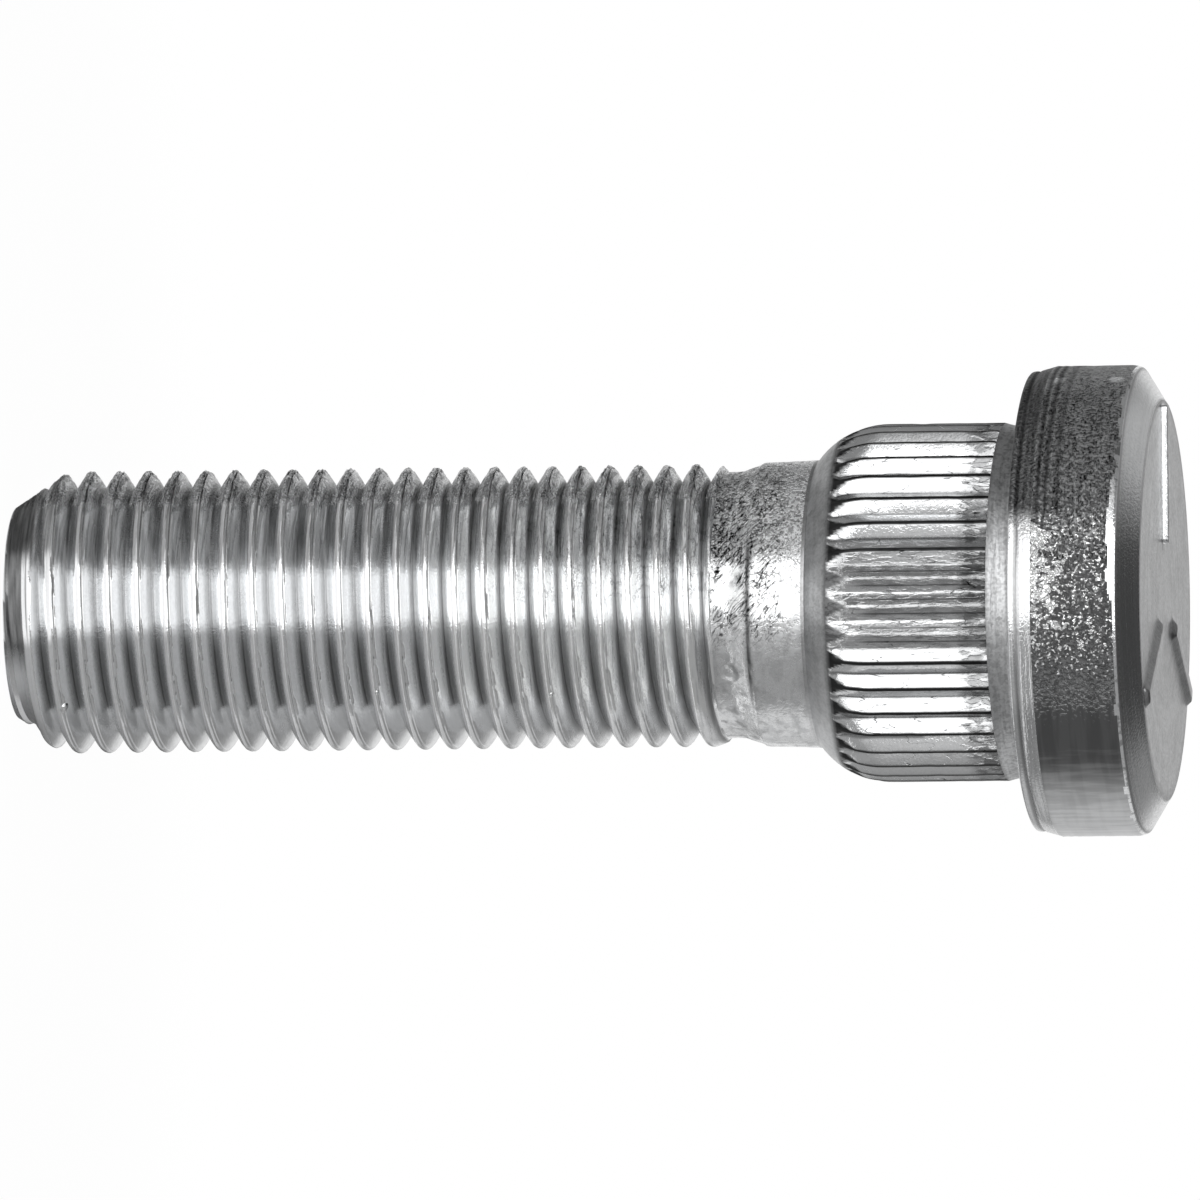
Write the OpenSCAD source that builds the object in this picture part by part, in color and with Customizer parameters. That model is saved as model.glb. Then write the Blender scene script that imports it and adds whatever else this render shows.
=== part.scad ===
// Headed press-in stud, a single piece of zinc plated steel: a threaded shank,
// a plain neck, a serrated shoulder that is pressed into its hole, and a round
// flat head with a chamfered rim. It stands on the flat end of its thread, with
// the head up. The origin is the centre of that flat end and the axis is Z.
// All lengths are in millimetres.

/* [Lengths along the axis] */
// Height of the face under the head, from the threaded end
under_head_z = 44.8; // [40:0.1:60]
// Thickness of the head, without the raised bars
head_t = 5.65; // [4:0.05:8]
// Where the crests of the thread end, from the threaded end
thread_end_z = 31.05; // [20:0.05:31.05]
// Length of the serrations, up to their square ends
knurl_len = 7; // [5:0.1:7.2]

/* [Thread] */
// Diameter over the crests of the thread
crest_d = 12.35; // [12:0.05:12.6]
// Pitch of the thread, 20 turns to 25.4 mm
pitch = 1.27; // [1:0.01:1.5]
// Depth of the groove, from crest to root
thread_depth = 0.82; // [0.5:0.01:0.84]
// Width of the flat along the root of the groove
root_flat = 0.1; // [0.06:0.01:0.2]
// Diameter of the flat threaded end
tip_d = 9.25; // [8:0.05:10.5]
// Height of the cone between the flat end and the first full crest
tip_cone = 2.3; // [1.5:0.1:3]
// Flat steps in one turn of the groove
turn_steps = 32; // [24:4:36]

/* [Neck] */
// Diameter of the rolled blank where the thread runs out
runout_d = 11.6; // [11.4:0.05:11.9]
// Diameter of the plain neck at the end next to the thread
neck_d = 12.4; // [12.2:0.05:12.5]
// Diameter of the plain neck where it meets the shoulder
neck_end_d = 12.55; // [12.5:0.05:13]

/* [Serrated shoulder] */
// Diameter over the teeth
knurl_d = 15.6; // [15:0.05:16.2]
// Number of teeth
teeth = 39; // [31:2:43]
// Depth of the grooves between the teeth
knurl_depth = 0.55; // [0.4:0.01:0.6]
// Width of the flat along the crest of a tooth
tooth_flat = 0.12; // [0.08:0.01:0.2]
// Width of the flat along the floor of a groove
knurl_floor_w = 0.08; // [0.05:0.01:0.12]
// Radius of the rounded lead-in at the front of the shoulder
lead_r = 3.7; // [3:0.1:4.5]
// Diameter of the smooth band between the teeth and the head
band_d = 15.3; // [14.9:0.05:15.5]
// Radius of the fillet between that band and the head
under_head_r = 0.5; // [0.3:0.05:0.9]

/* [Head] */
// Diameter of the head
head_d = 20.5; // [18:0.1:24]
// Diameter of the rolled lip around the lower face
lip_d = 20; // [17.5:0.1:23.5]
// Height of that lip
lip_h = 0.42; // [0.3:0.01:0.6]
// Diameter of the flat outer face
face_d = 17.5; // [14:0.1:18.5]
// Height of the chamfer around the outer face
chamfer_h = 0.9; // [0.5:0.05:1.2]

/* [Raised bars] */
// Number of plain radial bars on the outer face
bars = 3; // [0:1:6]
// Width of a bar
bar_w = 0.8; // [0.5:0.05:1.2]
// Height of a bar over the face
bar_h = 0.25; // [0.1:0.05:0.4]
// Distance of a bar's inner end from the axis
bar_from = 2.5; // [1.5:0.1:4]

/* [Hidden] */
$fn = 128;

steel = [0.74, 0.75, 0.76];
crest_r = crest_d / 2;
runout_r = runout_d / 2;
neck_r = neck_d / 2;
neck_end_r = neck_end_d / 2;
knurl_r = knurl_d / 2;
band_r = band_d / 2;
head_r = head_d / 2;
lip_r = lip_d / 2;
face_r = face_d / 2;
head_z = under_head_z + head_t;

// How far one section runs into the next, so that they join
lap = 0.1;

// The neck: the far flank of the last crest, the bare blank, and two steps that
// lead out of it, of which the first stays a little inside the neck
last_flank_h = 0.25;
blank_h = 0.95;
first_step_h = 0.45;
first_step_in = 0.12;
second_step_h = 0.35;
blank_z = thread_end_z + last_flank_h;
neck_from_z = blank_z + blank_h;
first_step_z = neck_from_z + first_step_h;
neck_z = first_step_z + second_step_h;

// The shoulder: its teeth end square, a small cone and the smooth band follow
// them, and its lead-in arc starts on the neck
band_h = 1.3;
end_cone_h = 0.2;
knurl_end_z = under_head_z - band_h;
lead_c_z = knurl_end_z - knurl_len + lead_len(knurl_r - knurl_depth);
lead_c_r = knurl_r - lead_r;
shoulder_z = lead_c_z - lead_len(neck_end_r);

// The grooves between the teeth: they start below the arc and stop in a square
// wall just past the teeth. One of them lies at this angle from +X
groove_from_z = lead_c_z - lead_r;
groove_past = 0.1;
knurl_phase = 275.7;

// The head: the rounded lower corner of the lip and its flare, the bevel up to
// the side and the soft edge where they meet
lip_corner_w = 0.25;
lip_corner_h = 0.12;
lip_flare = 0.04;
bevel_h = 0.4;
soft_edge_h = 0.3;
soft_edge_w = 0.03;

// The bars reach down into the head, and end a little before the chamfer
bar_sink = 0.3;
bar_short = 0.1;

// How far below the lead-in arc's centre the arc reaches a radius r
function lead_len(r) = sqrt(pow(lead_r, 2) - pow(r - knurl_r + lead_r, 2));

// The groove of the thread: a wedge swept along a right-hand helix. It starts
// below the cone of the tip, runs a little past the last crest and climbs out of
// the metal in its last half turn. The wedge stands out past the crests by its
// cover, and clears them by the last of its climb
flank_angle = 30;
run_past = 0.35;
last_clear = 0.05;
crest_phase = 0.11;
sweep_from_z = crest_phase - pitch / 2;
sweep_turns = (thread_end_z + run_past - sweep_from_z) / pitch;
sweep_steps = floor(sweep_turns * turn_steps);
climb_steps = floor(turn_steps / 2);
cover = 0.06;
root_r = crest_r - thread_depth;

function climb(i) =
  let(over = i - sweep_steps + climb_steps)
  over > 0 ? (thread_depth + cover + last_clear) * over / climb_steps : 0;

function wedge(i) =
  let(
    a = 360 * i / turn_steps,
    z = sweep_from_z + pitch * i / turn_steps,
    inner = root_r + climb(i),
    outer = crest_r + cover + climb(i),
    low = root_flat / 2,
    wide = low + (thread_depth + cover) * tan(flank_angle)
  )
  [
    [inner * cos(a), inner * sin(a), z - low],
    [outer * cos(a), outer * sin(a), z - wide],
    [outer * cos(a), outer * sin(a), z + wide],
    [inner * cos(a), inner * sin(a), z + low]
  ];

module thread_groove() {
  points = [for (i = [0 : sweep_steps]) each wedge(i)];
  last = 4 * sweep_steps;
  sides = [
    for (i = [0 : sweep_steps - 1], k = [0 : 3])
      let(a = 4 * i + k, b = 4 * i + (k + 1) % 4)
      each [[a, b, a + 4], [b, b + 4, a + 4]]
  ];
  polyhedron(
    points = points,
    faces = concat([[3, 2, 1, 0]], sides, [[last, last + 1, last + 2, last + 3]]),
    convexity = 30
  );
}

// The shank from the flat end to the neck's end, as the blank was turned
module shank_section() {
  polygon([
    [0, 0],
    [tip_d / 2, 0],
    [crest_r, tip_cone],
    [crest_r, thread_end_z],
    [runout_r, blank_z],
    [runout_r, neck_from_z],
    [neck_r - first_step_in, first_step_z],
    [neck_r, neck_z],
    [neck_end_r, shoulder_z],
    [neck_end_r, shoulder_z + lap],
    [0, shoulder_z + lap]
  ]);
}

// The shoulder: a true arc for the lead-in, the cylinder over the teeth, a small
// cone at their square ends and the smooth band with its fillet under the head
module shoulder_section() {
  intersection() {
    translate([lead_c_r, lead_c_z]) circle(r = lead_r);
    translate([0, shoulder_z]) square([knurl_r + lap, lead_c_z - shoulder_z]);
  }
  translate([0, lead_c_z]) square([knurl_r, knurl_end_z - lead_c_z]);
  translate([0, shoulder_z]) square([lead_c_r + lap, knurl_end_z - shoulder_z]);
  polygon([
    [0, knurl_end_z],
    [knurl_r, knurl_end_z],
    [band_r, knurl_end_z + end_cone_h],
    [band_r, under_head_z + lap],
    [0, under_head_z + lap]
  ]);
  difference() {
    translate([band_r - lap, under_head_z - under_head_r])
      square([under_head_r + lap, under_head_r + lap]);
    translate([band_r + under_head_r, under_head_z - under_head_r])
      circle(r = under_head_r);
  }
}

// The head: flat lower face, rolled lip, a bevel up to the side, and the
// chamfer that leads to the flat outer face
module head_section() {
  polygon([
    [0, under_head_z],
    [lip_r - lip_corner_w, under_head_z],
    [lip_r, under_head_z + lip_corner_h],
    [lip_r + lip_flare, under_head_z + lip_h],
    [head_r - soft_edge_w, under_head_z + lip_h + bevel_h],
    [head_r, under_head_z + lip_h + bevel_h + soft_edge_h],
    [head_r, head_z - chamfer_h],
    [face_r, head_z],
    [0, head_z]
  ]);
}

// Radial bars that stand up from the outer face, one of them towards -X
module face_bars() {
  for (i = [0 : 1 : bars - 1])
    rotate([0, 0, 180 + i * 360 / bars])
      translate([bar_from, -bar_w / 2, head_z - bar_sink])
        cube([face_r - bar_short - bar_from, bar_w, bar_sink + bar_h]);
}

// One groove between two teeth: a wedge that is nearly as wide at the crests as
// a tooth's share of the circle. It ends in a square wall, just past the teeth.
// On the lead-in arc the grooves grow shallow, so the teeth there end as claws
module knurl_groove() {
  floor_edge = [knurl_r - knurl_depth, knurl_floor_w / 2];
  half_mouth = 180 / teeth - asin(tooth_flat / 2 / knurl_r);
  crest_edge = knurl_r * [cos(half_mouth), sin(half_mouth)];
  outer_edge = crest_edge + lap * (crest_edge - floor_edge);
  translate([0, 0, groove_from_z])
    linear_extrude(height = knurl_end_z + groove_past - groove_from_z)
      polygon([
        floor_edge,
        outer_edge,
        [outer_edge.x, -outer_edge.y],
        [floor_edge.x, -floor_edge.y]
      ]);
}

module stud() {
  color(steel)
  difference() {
    union() {
      rotate_extrude() {
        shank_section();
        shoulder_section();
        head_section();
      }
      face_bars();
    }
    thread_groove();
    for (i = [0 : teeth - 1])
      rotate([0, 0, knurl_phase + i * 360 / teeth]) knurl_groove();
  }
}

stud();
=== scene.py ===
import logging
import math
from dataclasses import dataclass, field
from enum import Enum, IntEnum

import bmesh
import bpy
from mathutils import Matrix, Vector, noise
from mathutils.geometry import delaunay_2d_cdt


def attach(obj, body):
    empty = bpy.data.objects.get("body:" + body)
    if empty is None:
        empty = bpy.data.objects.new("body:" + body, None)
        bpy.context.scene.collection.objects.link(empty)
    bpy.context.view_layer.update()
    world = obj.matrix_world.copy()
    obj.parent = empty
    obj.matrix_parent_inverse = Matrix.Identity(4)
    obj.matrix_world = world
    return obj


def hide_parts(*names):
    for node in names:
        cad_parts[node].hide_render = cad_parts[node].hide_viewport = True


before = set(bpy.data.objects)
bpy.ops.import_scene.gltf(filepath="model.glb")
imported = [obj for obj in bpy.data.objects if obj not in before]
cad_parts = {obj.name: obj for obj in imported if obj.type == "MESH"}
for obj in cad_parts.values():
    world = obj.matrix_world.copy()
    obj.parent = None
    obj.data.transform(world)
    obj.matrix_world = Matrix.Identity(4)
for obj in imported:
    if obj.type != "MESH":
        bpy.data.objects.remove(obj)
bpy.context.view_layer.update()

log = logging.getLogger("headed_stud")

MM = 0.001
FULL_TURN = 360.0
SEED_SHIFT = (17.3, -9.1, 5.7)

Point = tuple[float, float, float]
Outline = tuple[Point, ...]
Ramp = tuple[float, float]
Fade = tuple[int, float, float]
Socket = bpy.types.NodeSocket


class Zone(Enum):
    """The stretches of the stud's skin that have a finish of their own."""

    THREAD = 0
    NECK = 1
    LEAD_IN = 2
    TEETH = 3
    BAND = 4
    LIP = 5
    RIM = 6
    EDGE = 7
    CHAMFER = 8
    FACE = 9


class Seed(IntEnum):
    """What a pattern of noise is for; no two of them are the same."""

    CREST_GRAIN = 1
    NECK_DENT = 2
    GROOVE_DEPTH = 3
    TOOTH_WEAR = 4
    CHATTER = 5
    FORGED = 6
    FACE_DIP = 7
    SEAM_PATCH = 8
    TOP_GRAIN = 9
    EDGE_HIGHLIGHT = 11
    CLAW = 12
    TONGUE = 13
    CONE_STREAK = 14
    NECK_RING = 15


class Pattern(Enum):
    """How a layer of a finish turns noise into a mask."""

    CLOUD = "cloud"
    LINES = "lines"
    RINGS = "rings"
    WHOLE = "whole"


def steps(first: float, last: float, count: int) -> list[float]:
    """Return so many evenly spread values, from the first to the last."""
    return [first + (last - first) * i / (count - 1) for i in range(count)]


def blend(low: float, high: float, share: float) -> float:
    """Return the value that lies a share of the way from low to high."""
    return low + (high - low) * share


def clamp(value: float) -> float:
    """Keep a value between 0 and 1."""
    return min(max(value, 0.0), 1.0)


def cosd(angle: float) -> float:
    """Return the cosine of an angle in degrees."""
    return math.cos(math.radians(angle))


def columns_of(count: int, first: float = 0.0) -> list[float]:
    """Return the degrees of evenly spaced columns around the axis."""
    return [first + FULL_TURN * j / count for j in range(count)]


def ease(value: float, low: float, high: float) -> float:
    """Ramp smoothly from 0, where low, to 1, where high."""
    share = clamp((value - low) / (high - low))
    return share * share * (3.0 - 2.0 * share)


def fall(value: float, whole: float, gone: float) -> float:
    """Ramp smoothly from 1, where whole, to 0, where gone."""
    return 1.0 - ease(value, whole, gone)


def rough(x: float, y: float, z: float, seed: Seed) -> float:
    """Read smooth noise from about -1 to 1, in a pattern of its own for each seed."""
    return noise.noise(Vector([c + seed * shift for c, shift in zip((x, y, z), SEED_SHIFT)]))


def quads(low: list[int], high: list[int]) -> list[tuple[int, ...]]:
    """Return the corners of the quads between two rings of equal count."""
    return list(zip(low, low[1:] + low[:1], high[1:] + high[:1], high))


def put(name: str, data: bpy.types.ID) -> bpy.types.Object:
    """Put an object with some data into the scene.

    Args:
        name: The object's name.
        data: Its mesh, camera or light.

    Returns:
        The object.
    """
    made = bpy.data.objects.new(name, data)
    bpy.context.scene.collection.objects.link(made)
    return made


@dataclass
class MeshDraft:
    """Points in millimetres and faces of one skin, which grows ring by ring."""

    points: list[Point] = field(default_factory=list)
    faces: list[tuple[int, ...]] = field(default_factory=list)
    zones: list[int] = field(default_factory=list)
    # How dark each point is painted: partly grime, partly painted shade in grooves, creases and
    # corners and towards one side
    grime_and_shade: list[float] = field(default_factory=list)
    end: list[int] = field(default_factory=list)

    def point(self, angle: float, radius: float, height: float, grime_and_shade: float = 0.0) -> int:
        """Add a point by its degrees from +X, radius and height, and return its number."""
        turn = math.radians(angle)
        return self.spot(radius * math.cos(turn), radius * math.sin(turn), height, grime_and_shade)

    def spot(self, x: float, y: float, z: float, grime_and_shade: float = 0.0) -> int:
        """Add a point by its coordinates and return its number."""
        self.points.append((x, y, z))
        self.grime_and_shade.append(grime_and_shade)
        return len(self.points) - 1

    def ring(
        self, angles: list[float], radius: float, height: float, grime_and_shade: float = 0.0,
    ) -> list[int]:
        """Add a closed ring at one radius and height, and return its points' numbers."""
        return [self.point(a, radius, height, grime_and_shade) for a in angles]

    def face(self, corners: tuple[int, ...], zone: Zone) -> None:
        """Add a face, without the corners that fall together.

        Args:
            corners: Numbers of its points, counter-clockwise from outside.
            zone: The finish it takes.
        """
        kept = [c for i, c in enumerate(corners) if c != corners[i - 1]]
        if len(set(kept)) >= 3:
            self.faces.append(tuple(kept))
            self.zones.append(zone.value)

    def strip(self, low: list[int], high: list[int], zone: Zone) -> None:
        """Join two rings of equal count with quads, the one further up the skin last."""
        for corners in quads(low, high):
            self.face(corners, zone)

    def turns(self, ring: list[int]) -> list[float]:
        """Return where each point of a ring lies, as a share of a full turn."""
        places = [self.points[n] for n in ring]
        return [math.atan2(y, x) / (2 * math.pi) % 1.0 for x, y, _ in places]

    def stitch(self, low: list[int], high: list[int], zone: Zone) -> None:
        """Join two rings whose counts of points differ.

        Args:
            low: The ring that comes first on the way up.
            high: The ring that follows it.
            zone: The finish of the strip.
        """
        below, above = self.turns(low), self.turns(high)
        gaps = [abs((turn - below[0] + 0.5) % 1.0 - 0.5) for turn in above]
        near = gaps.index(min(gaps))
        high, above = high[near:] + high[:near], above[near:] + above[:near]
        start = (above[0] - below[0] + 0.5) % 1.0 - 0.5
        lows = [(turn - below[0]) % 1.0 for turn in below] + [1.0]
        highs = [(turn - above[0]) % 1.0 + start for turn in above] + [1.0 + start]
        i = j = 0
        while i < len(low) or j < len(high):
            a, b = low[i % len(low)], high[j % len(high)]
            if j == len(high) or (i < len(low) and lows[i + 1] <= highs[j + 1]):
                i += 1
                self.face((a, low[i % len(low)], b), zone)
            else:
                j += 1
                self.face((a, high[j % len(high)], b), zone)

    def grow(self, ring: list[int], zone: Zone) -> None:
        """Join a ring to the open end of the skin.

        Args:
            ring: The ring, which becomes the open end.
            zone: The finish of the strip between them.
        """
        join = self.strip if len(ring) == len(self.end) else self.stitch
        join(self.end, ring, zone)
        self.end = ring

    def fan(self, rim: list[int], centre: int, zone: Zone) -> None:
        """Close a ring, counter-clockwise seen from outside, with triangles to a point."""
        for here, after in zip(rim, rim[1:] + rim[:1]):
            self.face((here, after, centre), zone)


@dataclass
class Section:
    """A stretch of the stud, which adds its rings to the open end of a draft."""

    draft: MeshDraft

    def build(self) -> None:
        """Add the section."""
        raise NotImplementedError


@dataclass
class Thread(Section):
    """The rolled thread, its coned tip and the place where it runs out."""

    columns: int = 117
    crest_r: float = 6.175
    tip_r: float = 4.625
    tip_cone: float = 2.3
    pitch: float = 1.27
    crest_phase: float = 0.111
    depth: float = 0.83
    tip_round: float = 0.2
    end_z: float = 31.05
    blank_z: float = 31.3
    runout_r: float = 5.8
    fade_out: float = 0.64
    root_past: float = 0.35
    seam_u: float = 0.135
    seam_half: float = 0.05
    seam_depth: float = 0.05
    seam_dark: float = 0.97
    bulge: float = 0.025
    grain: float = 0.02
    top_grain: float = 0.3
    tip_soft: float = 0.26
    groove_shade: float = 0.52
    first_crest: float = 0.28
    crest_from: Ramp = (0.85, 1.08)
    crest_to: Ramp = (1.5, 1.9)
    crest_mid: float = 0.14
    crest_width: Ramp = (0.15, 0.36)
    first_root: float = 0.22
    root_from: Ramp = (0.1, 0.45)
    root_to: Ramp = (0.8, 1.1)
    root_width: Ramp = (0.25, 0.5)
    flat_end: Ramp = (0.0, 0.3)
    soft_z: float = 1.9
    grain_side: Ramp = (0.72, 0.9)
    wear_width: Ramp = (0.15, 0.5)
    below: int = 3
    end_gap: float = 0.03
    blank_gap: float = 0.02
    # How dark the thread is painted, as the rolling seam's dark line and as painted shade in the
    # grooves, on the tip's cone, on the bottom tips and towards +X: shares, and ramps over
    # millimetres or over the side, which is 1 at +X and -1 at -X
    seam_patches: tuple[float, float] = (0.75, 0.6)
    seam_lost: float = 0.85
    seam_lost_side: Ramp = (0.12, 0.3)
    cone_sunk: Ramp = (-0.02, 0.25)
    cone_raised: Ramp = (0.08, 0.2)
    cone_shade: float = 0.95
    cone_streak: float = 0.3
    cone_side: Ramp = (0.2, 0.62)
    inner_z: Ramp = (13.0, 22.0)
    inner_groove_shade: float = 0.8
    narrower: float = 0.08
    narrow_side: Ramp = (-0.1, 0.2)
    upper_flank: Ramp = (0.4, 0.5)
    lower_flank: Ramp = (0.59, 0.63)
    dark_side: Ramp = (0.05, 0.35)
    unshaded_share: float = 0.8
    unshaded_side: Ramp = (0.76, 0.82)
    unshaded_z: Ramp = (18.0, 26.0)
    tip_shade: float = 0.8
    tip_side: Ramp = (0.93, 0.99)
    tip_width: Ramp = (0.05, 0.14)
    low_side_shade: float = 0.3
    low_side: Ramp = (0.7, 0.88)
    offsets: tuple[float, ...] = (
        -0.635, -0.56, -0.44, -0.31, -0.2, -0.12, -0.045, 0.03,
        0.09, 0.135, 0.18, 0.26, 0.36, 0.46, 0.56,
    )

    def seam(self, along: float) -> float:
        """Return the share of the rolling seam at a distance from the crest's middle."""
        return max(0.0, 1.0 - abs(along - self.seam_u) / self.seam_half)

    def drop(self, along: float) -> float:
        """Tell how deep the thread's surface lies under its crest.

        Args:
            along: Distance from the middle of the crest, along the axis.

        Returns:
            Depth under the crest line.
        """
        away = abs(along)
        tangent = self.tip_round * cosd(30)
        if away < tangent:
            sunk = self.tip_round - math.sqrt(self.tip_round**2 - away**2)
        else:
            share = (away - tangent) / (self.pitch / 2 - tangent)
            sunk = self.tip_round / 2 + (away - tangent) * math.tan(math.radians(60))
            sunk -= self.bulge * math.sin(math.pi * min(share, 1.0))
        return min(sunk, self.depth) + self.seam_depth * self.seam(along)

    def dullness_and_shade(self, angle: float, height: float, along: float) -> float:
        """Tell how dark one point of the thread is painted: the seam's dark line, and painted
        shade.

        Args:
            angle: Degrees around the axis.
            height: Height above the threaded end.
            along: Distance from the middle of the crest, along the axis.

        Returns:
            A share from 0, bright, to 1, darkest.
        """
        side = cosd(angle)
        # The seam's dark line, painted lighter towards +X
        whole, patchy = self.seam_patches
        patch = rough(angle / 30, height / 3, 0.0, Seed.SEAM_PATCH)
        seam = self.seam(along) * min(1.0, whole + patchy * patch)
        seam *= 1.0 - self.seam_lost * ease(side, *self.seam_lost_side)
        # Painted shade on the tip's cone, fading out towards +X
        on_cone = 0.0
        if height < self.tip_cone:
            sunk = self.crest_r - self.drop(along) - self.envelope(height)
            on_cone = ease(sunk, *self.cone_sunk)
            on_cone *= fall(self.first_turn(height, along), *self.cone_raised)
        # Painted shade in the grooves, darker towards +X and further up, lighter again far towards
        # +X near the tip; painted shade on the bottom tips and the +X side
        inner = ease(height, *self.inner_z)
        narrow = self.narrower * inner * fall(side, *self.narrow_side)
        begin, whole = self.upper_flank
        groove = max(ease(along, begin + narrow, whole + narrow), ease(-along, *self.lower_flank))
        groove_shade_kept = 1.0 - self.unshaded_share * ease(side, *self.unshaded_side) * fall(height, *self.unshaded_z)
        dark = max(ease(side, *self.dark_side), inner)
        groove *= blend(self.groove_shade, self.inner_groove_shade, dark) * groove_shade_kept * (1.0 - on_cone)
        tip = self.tip_shade * ease(side, *self.tip_side) * fall(abs(along), *self.tip_width)
        low = self.low_side_shade * ease(side, *self.low_side)
        dull_and_shade = max(self.seam_dark * seam, groove, tip, low)
        streak = self.cone_streak * abs(rough(angle / 25, height * 5, 0.0, Seed.CONE_STREAK))
        return max(dull_and_shade, on_cone * (self.cone_shade - streak) * fall(side, *self.cone_side))

    def envelope(self, height: float) -> float:
        """Give the radius of the turned blank.

        Args:
            height: Height above the threaded end.

        Returns:
            The radius that the thread's crests can't pass.
        """
        if height < self.tip_cone:
            return blend(self.tip_r, self.crest_r, height / self.tip_cone)
        past = clamp((height - self.end_z) / (self.blank_z - self.end_z))
        return blend(self.crest_r, self.runout_r, past)

    def first_turn(self, height: float, along: float) -> float:
        """Tell how the first, unfinished turn stands out of the tip's cone.

        Args:
            height: Height above the threaded end.
            along: Distance from the middle of the nearest crest.

        Returns:
            How far the cone is raised at a crest, or sunk at a root where negative.
        """
        crest_z = height - along
        root_z = crest_z + math.copysign(self.pitch / 2, along)
        crest = ease(crest_z, *self.crest_from) * fall(crest_z, *self.crest_to)
        crest *= fall(abs(along - self.crest_mid), *self.crest_width)
        root = ease(root_z, *self.root_from) * fall(root_z, *self.root_to)
        root *= ease(abs(along), *self.root_width)
        return self.first_crest * crest - self.first_root * root * ease(height, *self.flat_end)

    def radius(self, angle: float, height: float, along: float) -> float:
        """Give the radius of one point of the thread.

        Args:
            angle: Degrees around the axis.
            height: Height above the threaded end.
            along: Distance from the middle of the nearest crest.

        Returns:
            Its distance from the axis.
        """
        root_z = height - along + math.copysign(self.pitch / 2, along)
        left = clamp((self.end_z + self.root_past - root_z) / self.fade_out)
        sunk = self.drop(along) * left
        grain = self.grain * abs(rough(angle / 4, height * 6, along * 4, Seed.CREST_GRAIN))
        fine = abs(rough(angle / 2, height * 14, along * 9, Seed.TOP_GRAIN))
        fine *= ease(-cosd(angle), *self.grain_side)
        wear = (grain + self.top_grain * fine) * fall(abs(along), *self.wear_width)
        cut = self.crest_r - sunk - wear
        body = self.envelope(height) - wear * 0.5 + self.first_turn(height, along)
        soft = self.tip_soft * fall(height, self.soft_z, self.tip_cone)
        if soft < 0.01:
            return min(cut, body)
        share = clamp(0.5 + 0.5 * (body - cut) / soft)
        return blend(body, cut, share) - soft * share * (1.0 - share)

    def build(self) -> None:
        """Sweep the thread along its helix, with its rows on the crest line."""
        draft, angles = self.draft, columns_of(self.columns)
        foot = draft.ring(angles, self.tip_r, 0.0)
        draft.fan(foot[::-1], draft.spot(0.0, 0.0, 0.0), Zone.THREAD)
        head = draft.ring(angles, self.runout_r, self.blank_z)
        turns = math.ceil(self.blank_z / self.pitch) + 2 * self.below
        rows: list[list[int]] = []
        for k in range(turns):
            for u in self.offsets:
                row = []
                for j, angle in enumerate(angles):
                    z = self.crest_phase + self.pitch * (k - self.below + j / self.columns) + u
                    if z < self.end_gap:
                        row.append(foot[j])
                    elif z > self.blank_z - self.blank_gap:
                        row.append(head[j])
                    else:
                        grime_and_shade = self.dullness_and_shade(angle, z, u)
                        row.append(draft.point(angle, self.radius(angle, z, u), z, grime_and_shade))
                rows.append(row)
        per_turn = len(self.offsets)
        for i in range(len(rows) - 1 - per_turn):
            low = rows[i] + rows[i + per_turn][:1]
            high = rows[i + 1] + rows[i + 1 + per_turn][:1]
            for corners in zip(low, low[1:], high[1:], high):
                draft.face(corners, Zone.THREAD)
        draft.end = head


@dataclass
class Neck(Section):
    """The rolled blank and the plain neck between thread and shoulder."""

    columns: int = 117
    # Height, radius and painted shade of each ring: shade at the thread's end, at the steps up to
    # the neck and at its top
    outline: Outline = (
        (31.36, 5.8, 0.3), (31.7, 5.8, 0.0), (32.05, 5.82, 0.0), (32.22, 5.87, 0.1),
        (32.35, 5.92, 0.1), (32.5, 5.97, 0.0), (32.7, 6.03, 0.0), (32.84, 6.08, 0.3),
        (32.9, 6.11, 1.0), (32.98, 6.17, 1.0), (33.08, 6.19, 0.4), (33.2, 6.195, 0.0),
        (33.5, 6.2, 0.0), (34.0, 6.21, 0.0), (34.5, 6.23, 0.0), (35.0, 6.25, 0.0),
        (35.3, 6.262, 0.25),
    )
    dent: float = 0.012
    ring_from: Ramp = (-0.6, -0.35)
    ring_to: Ramp = (0.55, 0.75)

    def build(self) -> None:
        """Add the rings between thread and shoulder."""
        for height, radius, grime_and_shade in self.outline:
            ring = []
            for a in columns_of(self.columns):
                # The painted shade at the steps is kept only on the sides towards +Y and -Y, and
                # varies around
                seen = ease(cosd(a), *self.ring_from) * fall(cosd(a), *self.ring_to)
                seen *= min(1.0, 0.6 + 1.2 * abs(rough(a / 4, height * 6, 0.0, Seed.NECK_RING)))
                dent = self.dent * abs(rough(a / 9, height * 2, 0.0, Seed.NECK_DENT))
                ring.append(self.draft.point(a, radius - dent, height, grime_and_shade * seen))
            self.draft.grow(ring, Zone.NECK)


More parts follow.
